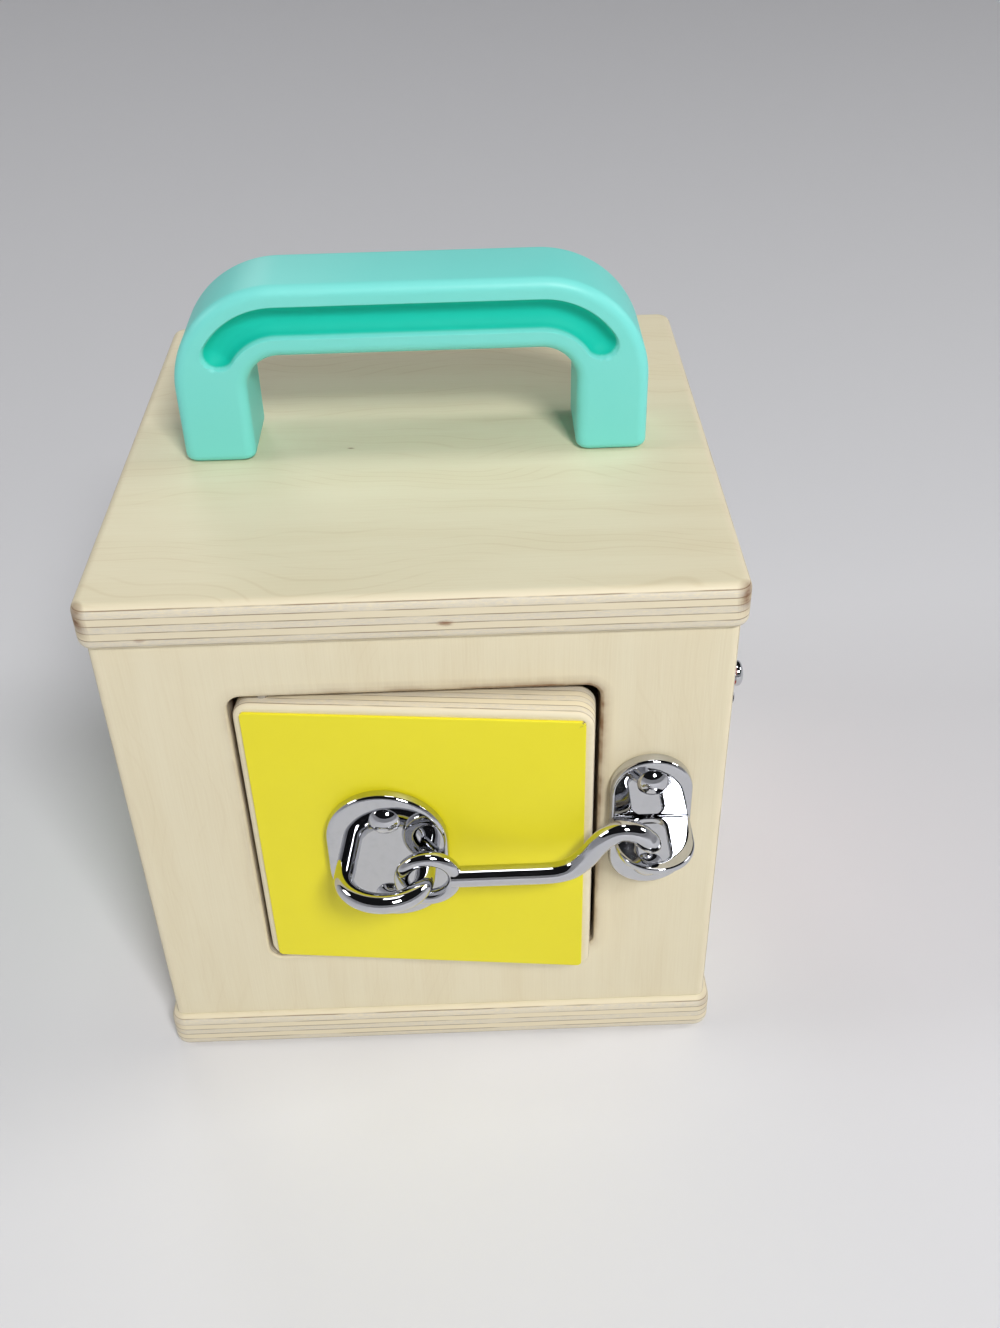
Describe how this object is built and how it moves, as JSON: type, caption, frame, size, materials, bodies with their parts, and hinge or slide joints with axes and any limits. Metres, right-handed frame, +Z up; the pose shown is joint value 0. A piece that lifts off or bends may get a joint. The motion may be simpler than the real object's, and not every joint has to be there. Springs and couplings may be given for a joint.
{
  "type": "lock box",
  "caption": "Plywood cube with an arched carrying handle and a hinged door in each side, each held shut by a different latch: hook and eye, barrel bolt, hasp, turn button.",
  "frame": {"origin": "centre of the underside, on the surface that the box stands on", "axes": "+Z up, -Y towards the front door that has the hook, +X to the right as seen from the front"},
  "size_m": [0.1735, 0.1992, 0.1955],
  "materials": {
    "birch_plywood": "clear satin",
    "mint_plastic": "satin",
    "chrome_plate": "mirror",
    "steel_pin": "bright",
    "yellow_facing": "satin",
    "red_facing": "satin",
    "blue_facing": "satin",
    "green_facing": "satin"
  },
  "bodies": {
    "box": {"top_board": "birch_plywood", "bottom_board": "birch_plywood", "handle": "mint_plastic", "handle_screw_left": "chrome_plate", "handle_screw_right": "chrome_plate", "front_wall": "birch_plywood", "right_wall": "birch_plywood", "back_wall": "birch_plywood", "left_wall": "birch_plywood", "front_door_stop": "birch_plywood", "right_door_stop": "birch_plywood", "back_door_stop": "birch_plywood", "left_door_stop": "birch_plywood", "front_pin_bottom": "steel_pin", "front_pin_top": "steel_pin", "right_pin_bottom": "steel_pin", "right_pin_top": "steel_pin", "back_pin_bottom": "steel_pin", "back_pin_top": "steel_pin", "left_pin_bottom": "steel_pin", "left_pin_top": "steel_pin", "keeper": "chrome_plate", "keeper_screw_top": "chrome_plate", "keeper_screw_bottom": "chrome_plate", "bolt_keeper": "chrome_plate", "bolt_keeper_screw_top": "chrome_plate", "bolt_keeper_screw_bottom": "chrome_plate", "staple_plate": "chrome_plate", "staple_plate_screw_top": "chrome_plate", "staple_plate_screw_bottom": "chrome_plate"},
    "front_door": {"front_door_board": "birch_plywood", "front_door_facing": "yellow_facing", "eye_plate": "chrome_plate", "eye_staple": "chrome_plate", "eye_screw_top": "chrome_plate", "eye_screw_bottom": "chrome_plate"},
    "hook": {"hook": "chrome_plate"},
    "right_door": {"right_door_board": "birch_plywood", "right_door_facing": "red_facing", "bolt_plate": "chrome_plate", "bolt_plate_screw_front": "chrome_plate", "bolt_plate_screw_back": "chrome_plate"},
    "bolt": {"bolt_rod": "chrome_plate", "bolt_knob": "chrome_plate"},
    "back_door": {"back_door_board": "birch_plywood", "back_door_facing": "blue_facing", "hasp_leaf": "chrome_plate", "hasp_pin": "chrome_plate", "hasp_leaf_screw_top": "chrome_plate", "hasp_leaf_screw_bottom": "chrome_plate"},
    "hasp_strap": {"hasp_strap": "chrome_plate"},
    "turn_staple": {"turn_staple": "chrome_plate"},
    "left_door": {"left_door_board": "birch_plywood", "left_door_facing": "green_facing", "button_spacer": "chrome_plate", "button_screw": "chrome_plate"},
    "turn_button": {"turn_button": "chrome_plate"}
  },
  "joints": [
    {"name": "front_door_swing", "type": "hinge", "parent": "box", "child": "front_door", "pos_m": [-0.03625, -0.07075, 0.07825], "axis": [0, 0, -1], "range_deg": [-5.5, 99.5]},
    {"name": "hook_lift", "type": "hinge", "parent": "front_door", "child": "hook", "pos_m": [0.00014, -0.08928, 0.0785], "axis": [0.0044, -1, 0], "range_deg": [-2.75, 100]},
    {"name": "right_door_swing", "type": "hinge", "parent": "box", "child": "right_door", "pos_m": [0.07075, -0.03625, 0.07825], "axis": [0, 0, -1], "range_deg": [0, 105]},
    {"name": "bolt_slide", "type": "slide", "parent": "right_door", "child": "bolt", "axis": [0, 1, 0], "range_m": [0, 0.015]},
    {"name": "back_door_swing", "type": "hinge", "parent": "box", "child": "back_door", "pos_m": [0.03625, 0.07075, 0.07825], "axis": [0, 0, -1], "range_deg": [0, 105]},
    {"name": "hasp_swing", "type": "hinge", "parent": "back_door", "child": "hasp_strap", "pos_m": [-0.026, 0.0803, 0.0775], "axis": [0, 0, -1], "range_deg": [-32, 100]},
    {"name": "staple_turn", "type": "hinge", "parent": "box", "child": "turn_staple", "pos_m": [-0.0495, 0.08, 0.0775], "axis": [0, 1, 0], "range_deg": [0, 90]},
    {"name": "left_door_swing", "type": "hinge", "parent": "box", "child": "left_door", "pos_m": [-0.07075, 0.03625, 0.07825], "axis": [0, 0, -1], "range_deg": [0, 105]},
    {"name": "button_turn", "type": "hinge", "parent": "left_door", "child": "turn_button", "pos_m": [-0.08, -0.032, 0.0775], "axis": [-1, 0, 0], "range_deg": [0, 90]}
  ]
}
